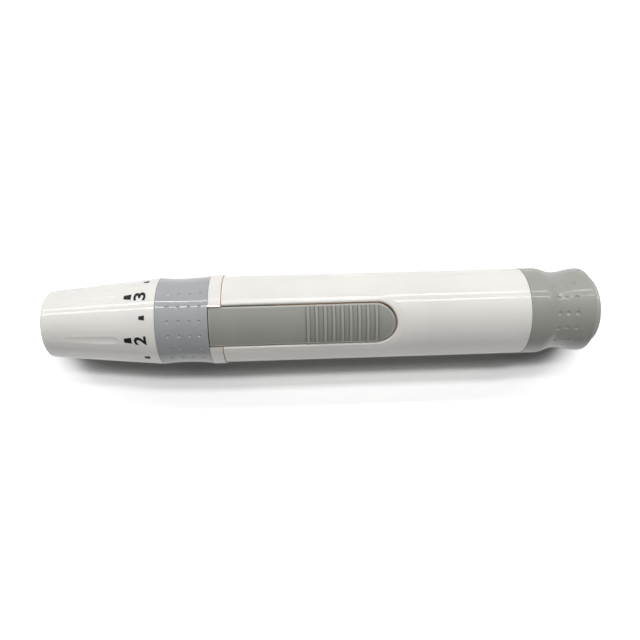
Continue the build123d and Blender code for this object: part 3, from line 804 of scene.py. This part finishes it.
def table_white(light):
    """Faintly uneven white; the camera sees it whiter, and plain white far from the pen."""
    material, nodes, links, shader = node_tree("table_white")
    drift = scaled_noise(nodes, links, scale=9, detail=2)
    tint = tinted(nodes, links, drift, light.table, darker=0.985, lighter=1)
    gloss = ray_kind(nodes, links, *MIRROR_RAYS)
    mirrored = ranged(nodes, links, gloss, 1, light.mirror_lift, start=0, end=1)
    # Painted shade on the table close to the pen's shaded side, in the colour that the camera sees
    seen = calculated(nodes, links, "MULTIPLY", contact_shade(nodes, links), light.table_lift)
    white = nodes.new("ShaderNodeEmission").outputs["Emission"]
    from_middle = reach(nodes, links, along(nodes, links, "X"), along(nodes, links, "Y"))
    far = ranged(nodes, links, from_middle, 0, 1, start=TABLE_ENDS, end=WHITE_FROM)
    viewed = chosen(nodes, links, far, matt_paint(nodes, links, tint, seen), white)
    camera = ray_kind(nodes, links, "Is Camera Ray")
    surface = chosen(nodes, links, camera, matt_paint(nodes, links, tint, mirrored), viewed)
    links.new(surface, nodes["Material Output"].inputs["Surface"])
    nodes.remove(shader)
    return material


def table_top(light):
    """Wide flat table that the pen lies on."""
    mesh = bmesh.new()
    bmesh.ops.create_grid(mesh, x_segments=TABLE_CELLS, y_segments=TABLE_CELLS, size=TABLE_HALF_WIDTH)
    return new_piece("table", mesh, table_white(light))


class PEN_OT_stage(bpy.types.Operator):
    """Lay the pen on a white table under soft light, with the camera above"""

    bl_idname = "pen.stage"
    bl_label = "Stage"

    def execute(self, context):
        scene = context.scene
        light, view = scene.pen_light, scene.pen_camera
        table_top(light)
        white_world(light.sky)
        for number, lean in enumerate(light.window_leans):
            lamp(f"window_{number + 1}", light.window, lean, WINDOW_SIZE)
        lamp("side", light.side, SIDE_LEAN, SIDE_SIZE)
        lamp("fill", light.fill, FILL_LEAN, FILL_SIZE)
        for number, lean in enumerate(light.tube_leans):
            lamp(f"tube_{number + 1}", light.tube, lean, TUBE_SIZE, mirrored=True)
        scene.camera = photo_camera(view)
        scene.view_settings.view_transform = "Standard"
        return {"FINISHED"}


def photo_camera(view):
    """Camera at the photograph's place, from its lean, distance and three small turns."""
    towards = outward(view.lean)
    up = Vector((0, math.cos(view.lean), -math.sin(view.lean)))
    base = Matrix((Vector((1, 0, 0)), -up, -towards))
    yaw = Matrix.Rotation(view.yaw, 3, "Y")
    pitch = Matrix.Rotation(view.pitch, 3, "X")
    roll = Matrix.Rotation(view.roll, 3, "Z")
    right, down, forward = roll @ pitch @ yaw @ base
    data = bpy.data.cameras.new("photo_camera")
    data.lens = view.lens
    data.sensor_width = SENSOR_WIDTH
    data.clip_start = NEAREST
    data.clip_end = FARTHEST
    camera = bpy.data.objects.new("photo_camera", data)
    turn = Matrix((right, -down, -forward)).transposed().to_4x4()
    place = Vector((view.along, 0, AXIS_HEIGHT)) + towards * view.distance
    camera.matrix_world = Matrix.Translation(place) @ turn
    bpy.context.scene.collection.objects.link(camera)
    return camera


OPERATORS = (
    PEN_OT_white_mouldings,
    PEN_OT_grip_ring,
    PEN_OT_satin_mouldings,
    PEN_OT_mechanism,
    PEN_OT_springs,
    PEN_OT_dial_numbers,
    PEN_OT_dial_marks,
    PEN_OT_stage,
)


class PEN_PT_lancing_device(bpy.types.Panel):
    """Lists the steps that dress the pen"""

    bl_label = "Lancing device"
    bl_idname = "PEN_PT_lancing_device"
    bl_space_type = "VIEW_3D"
    bl_region_type = "UI"
    bl_category = "Lancing device"

    def draw(self, context):
        for operator in OPERATORS:
            self.layout.operator(operator.bl_idname)


GROUPS = {
    "pen_colours": PlasticColours,
    "pen_dial": DialPrint,
    "pen_slider": SliderFinish,
    "pen_light": TableLight,
    "pen_camera": PhotoCamera,
}


def register():
    """Registers the sizes, the steps and the panel."""
    for name, group in GROUPS.items():
        bpy.utils.register_class(group)
        setattr(bpy.types.Scene, name, PointerProperty(type=group))
    for operator in OPERATORS:
        bpy.utils.register_class(operator)
    bpy.utils.register_class(PEN_PT_lancing_device)


def unregister():
    """Removes them in the opposite order."""
    bpy.utils.unregister_class(PEN_PT_lancing_device)
    for operator in reversed(OPERATORS):
        bpy.utils.unregister_class(operator)
    for name, group in reversed(GROUPS.items()):
        delattr(bpy.types.Scene, name)
        bpy.utils.unregister_class(group)


def main():
    """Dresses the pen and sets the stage."""
    register()
    bpy.ops.pen.white_mouldings()
    bpy.ops.pen.grip_ring()
    bpy.ops.pen.satin_mouldings()
    bpy.ops.pen.mechanism()
    bpy.ops.pen.springs()
    bpy.ops.pen.dial_numbers()
    bpy.ops.pen.dial_marks()
    bpy.ops.pen.stage()


if __name__ == "__main__":
    main()
